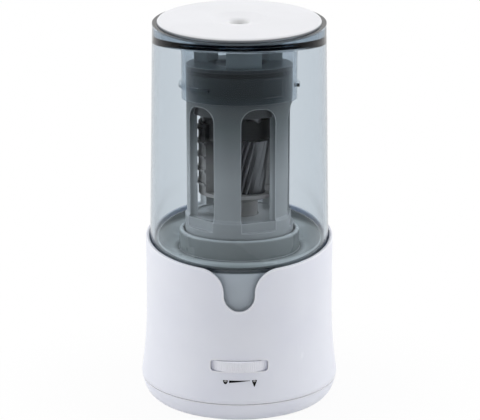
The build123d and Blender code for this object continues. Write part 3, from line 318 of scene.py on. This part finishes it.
def moulded(name, colour, roughness, grain=0.0004, depth=0.00001, change=0.02, gloss=0.5, inner_light=0.0):
    """Moulded plastic: fine grain, slow change of tone and of roughness."""
    material, tree, shader = new_material(name)
    point = object_point(tree)
    slow = noise(tree, point, slow_waves, detail=3.0)
    shader.inputs["Specular IOR Level"].default_value = gloss
    shader.inputs["Subsurface Weight"].default_value = inner_light
    shader.inputs["Subsurface Radius"].default_value = light_reach
    shader.inputs["Subsurface Scale"].default_value = light_depth
    low = roughness - plastic_roughness_change
    high = roughness + plastic_roughness_change
    tree.links.new(tinted(tree, slow, colour, change), shader.inputs["Base Color"])
    tree.links.new(spread(tree, slow, low, high), shader.inputs["Roughness"])
    bump(tree, shader, noise(tree, point, 1 / grain), depth)
    return material


def graded(name, tones, roughness, change=0.05, gloss=0.5):
    """Moulded plastic whose tone is the product of tones by radius, height or depth."""
    material = moulded(name, base_tone, roughness, change=change, gloss=gloss)
    tree = material.node_tree
    for measure, stops in tones.items():
        mix = colour_mix(tree, "MULTIPLY")
        mix.inputs["Factor"].default_value = 1.0
        tree.links.new(tone_by(tree, measure, stops), mix.inputs["B"])
    return material


def ground_metal(name, colour, roughness, stretch=lines_up, depth=0.000004):
    """Metal with fine ground lines along one axis."""
    material, tree, shader = new_material(name)
    lines = noise(tree, stretched_point(tree, stretch), 1.0, detail=3.0)
    shader.inputs["Metallic"].default_value = 1.0
    low = roughness - metal_roughness_change
    high = roughness + metal_roughness_change
    tree.links.new(tinted(tree, lines, colour, metal_tone_change), shader.inputs["Base Color"])
    tree.links.new(spread(tree, lines, low, high), shader.inputs["Roughness"])
    bump(tree, shader, lines, depth)
    return material


def smoked_clear():
    """Smoked clear plastic, which lets lamps through to what it covers."""
    material, tree, shader = new_material("smoked_clear")
    shader.inputs["Base Color"].default_value = (1, 1, 1, 1)
    shader.inputs["Transmission Weight"].default_value = 1.0
    shader.inputs["IOR"].default_value = clear_index
    shader.inputs["Specular Tint"].default_value = (clear_gloss, clear_gloss, clear_gloss, 1)
    haze = noise(tree, object_point(tree), haze_waves, detail=4.0)
    tree.links.new(spread(tree, haze, 0.0, haze_roughness), shader.inputs["Roughness"])
    through = add(tree, "ShaderNodeBsdfTransparent", Color=(*lamp_share, 1))
    path = tree.nodes.new("ShaderNodeLightPath")
    mix = tree.nodes.new("ShaderNodeMixShader")
    out = tree.nodes["Material Output"]
    tree.links.new(path.outputs["Is Shadow Ray"], mix.inputs["Fac"])
    tree.links.new(shader.outputs["BSDF"], mix.inputs[1])
    tree.links.new(through.outputs["BSDF"], mix.inputs[2])
    tree.links.new(mix.outputs["Shader"], out.inputs["Surface"])
    inside = add(tree, "ShaderNodeVolumeAbsorption", Color=(*smoke, 1), Density=smoke_density)
    tree.links.new(inside.outputs["Volume"], out.inputs["Volume"])
    return material


def dress():
    """Gives each piece the look of its own, or else of its material slot."""
    slot_looks = {
        "white_shell": moulded("white_shell", white, 0.42, inner_light=0.6),
        "smoked_clear": smoked_clear(),
        "black_plastic": moulded("black_plastic", black, 0.35, change=0.10),
        "wheel_plastic": moulded("wheel_plastic", wheel_white, 0.45),
        "gear_plastic": moulded("gear_plastic", cream, 0.40, change=0.03),
        "cutter_steel": ground_metal("cutter_steel", cutter_grey, 0.42),
        "bright_steel": ground_metal("bright_steel", steel, 0.28),
        "magnet_iron": ground_metal("magnet_iron", iron, 0.55),
        "bush_brass": ground_metal("bush_brass", brass, 0.30),
        "contact_metal": ground_metal("contact_metal", steel, 0.22, lines_across),
        "cell_sleeve": moulded("cell_sleeve", cell_blue, 0.30, change=0.06),
        "foot_rubber": moulded("foot_rubber", rubber_black, 0.75, grain=0.0007, depth=0.00003, change=0.12),
    }
    own_looks = {
        "lid_disc": graded("lid_plastic", lid_tones, 0.55, change=0.02, gloss=0.1),
        "chassis": moulded("chassis_plastic", chassis_white, 0.45),
        "deck": graded("deck_plastic", deck_tones, 0.26),
        "cage": graded("cage_plastic", cage_tones, 0.40),
        "cage_head": graded("head_plastic", head_tones, 0.35, gloss=0.3),
        "pencil_guide": graded("guide_plastic", guide_tones, 0.40),
        "cutter_carrier": graded("carrier_plastic", carrier_tones, 0.45, gloss=0.2),
    }
    looks = {**slot_looks, **own_looks}
    # painted highlights along edges
    for name, (width, light, reach) in painted_edge_highlights.items():
        paint_edge_highlights(looks[name], width, light, reach)
    for part in frame["record"]["subparts"]:
        node = part["node"]
        shown = nodes[node].data.materials
        shown.clear()
        shown.append(looks[node if node in own_looks else part["material_slot"]])


def on_base(x, z, out):
    """Point on the front of the base at a place across and up, moved out by a little."""
    base = nodes["base_housing"]
    into = base.matrix_world.inverted()
    start = into @ Vector((x, -1.0, z))
    hit, place, normal, face = base.ray_cast(start, into.to_3x3() @ Vector((0, 1, 0)))
    if not hit:
        raise ValueError("a printed mark lies off the base")
    return base.matrix_world @ (place + normal * out)


def printed(name, outline, material, out):
    """Thin printed mark on the front of the base, from an outline in millimetres across and up."""
    shape = bmesh.new()
    shape.faces.new([shape.verts.new((x, 0, z)) for x, z in outline])
    left = min(x for x, z in outline)
    right = max(x for x, z in outline)
    cuts = math.ceil((right - left) / print_step)
    for cut in range(1, cuts):
        place = (left + (right - left) * cut / cuts, 0, 0)
        bmesh.ops.bisect_plane(
            shape, geom=shape.verts[:] + shape.edges[:] + shape.faces[:], plane_co=place, plane_no=(1, 0, 0))
    layer = bmesh.ops.extrude_face_region(shape, geom=shape.faces[:])
    lifted = {item for item in layer["geom"] if isinstance(item, bmesh.types.BMVert)}
    for vert in shape.verts:
        side = 1 if vert in lifted else -1
        vert.co = on_base(vert.co.x * mm, vert.co.z * mm, side * out * mm)
    bmesh.ops.recalc_face_normals(shape, faces=shape.faces[:])
    mesh = bpy.data.meshes.new(name)
    shape.to_mesh(mesh)
    shape.free()
    mesh.materials.append(material)
    mark = bpy.data.objects.new(name, mesh)
    bpy.context.collection.objects.link(mark)
    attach(mark, "base")


def oval(x, z, across, up):
    """Outline of an oval."""
    turns = [2 * math.pi * corner / end_corners for corner in range(end_corners)]
    return [(x + across * math.cos(turn), z + up * math.sin(turn)) for turn in turns]


def point_marks():
    """Marks under the thumbwheel: a blunt tip, a wedge and a sharp tip."""
    ink = moulded("print_ink", print_black, 0.5, change=0.05, gloss=0.1)
    pale = moulded("print_pale", print_grey, 0.5)
    for name, middle, half in (("blunt", blunt_x, blunt_half), ("sharp", sharp_x, sharp_half)):
        right = [(middle + x, marks_top - drop) for x, drop in half]
        left = [(middle - x, marks_top - drop) for x, drop in reversed(half)]
        printed("mark_" + name, right + left, ink, print_out)
        end = oval(middle, marks_top - end_drop, *end_half)
        printed("mark_" + name + "_end", end, pale, 2 * print_out)
    wedge = [(x, marks_top - drop) for x, drop in wedge_points]
    printed("mark_wedge", wedge, ink, print_out)


def aim(thing, target):
    """Turns a lamp or camera to look at a point."""
    thing.rotation_euler = (target - thing.location).to_track_quat("-Z", "Y").to_euler()


def looked_at(tree):
    """1 for a ray from the camera, also by way of gloss or clear plastic, and else 0."""
    path = tree.nodes.new("ShaderNodeLightPath")
    either = path.outputs["Is Camera Ray"]
    for kind in ("Is Glossy Ray", "Is Transmission Ray"):
        either = worked_out(tree, "ShaderNodeMath", "MAXIMUM", either, path.outputs[kind])
    return either


def studio():
    """Soft lamps and an even white surround."""
    for name, (place, height, width, power) in lamps.items():
        light = bpy.data.lights.new("lamp_" + name, "AREA")
        light.size = width
        light.energy = power
        lamp = bpy.data.objects.new("lamp_" + name, light)
        lamp.location = place
        aim(lamp, Vector((0, 0, height)))
        bpy.context.collection.objects.link(lamp)
    world = bpy.data.worlds.new("surround")
    world.use_nodes = True
    bpy.context.scene.world = world
    tree = world.node_tree
    level = add(tree, "ShaderNodeMapRange", To_Min=fill_light, To_Max=1.0)
    tree.links.new(looked_at(tree), level.inputs["Value"])
    back = tree.nodes["Background"]
    back.inputs["Color"].default_value = (1, 1, 1, 1)
    tree.links.new(level.outputs["Result"], back.inputs["Strength"])


def floor_look():
    """Pale floor, white to the camera with a trace of the object's shadow."""
    material, tree, shader = new_material("floor")
    shader.inputs["Base Color"].default_value = (floor_grey, floor_grey, floor_grey, 1)
    shader.inputs["Roughness"].default_value = floor_roughness
    glow = tree.nodes.new("ShaderNodeEmission")
    away = worked_out(tree, "ShaderNodeVectorMath", "LENGTH", object_point(tree))
    near, far = floor_fade
    fade = add(tree, "ShaderNodeMapRange", From_Min=near, From_Max=far, To_Min=floor_white)
    tree.links.new(away, fade.inputs["Value"])
    share = worked_out(tree, "ShaderNodeMath", "MULTIPLY", looked_at(tree), fade.outputs["Result"])
    mix = tree.nodes.new("ShaderNodeMixShader")
    tree.links.new(share, mix.inputs["Fac"])
    tree.links.new(shader.outputs["BSDF"], mix.inputs[1])
    tree.links.new(glow.outputs["Emission"], mix.inputs[2])
    tree.links.new(mix.outputs["Shader"], tree.nodes["Material Output"].inputs["Surface"])
    return material


def floor():
    """Round floor that the object stands on."""
    mesh = bpy.data.meshes.new("floor")
    shape = bmesh.new()
    bmesh.ops.create_circle(shape, cap_ends=True, segments=floor_sides, radius=floor_radius)
    shape.to_mesh(mesh)
    shape.free()
    mesh.materials.append(floor_look())
    ground = bpy.data.objects.new("floor", mesh)
    bpy.context.collection.objects.link(ground)


def photo_camera():
    """Camera at the photograph's angle and distance."""
    data = bpy.data.cameras.new("camera")
    data.sensor_width = sensor_mm
    data.lens = sensor_mm * focal_pixels / image_width
    data.shift_x = camera_shift
    camera = bpy.data.objects.new("camera", data)
    back = Vector((0, -math.cos(look_down), math.sin(look_down)))
    camera.location = look_at + camera_distance * back
    camera.rotation_euler = (math.pi / 2 - look_down, 0, 0)
    bpy.context.collection.objects.link(camera)
    bpy.context.scene.camera = camera


dress()
point_marks()
studio()
floor()
photo_camera()
bpy.context.scene.view_settings.view_transform = "Standard"
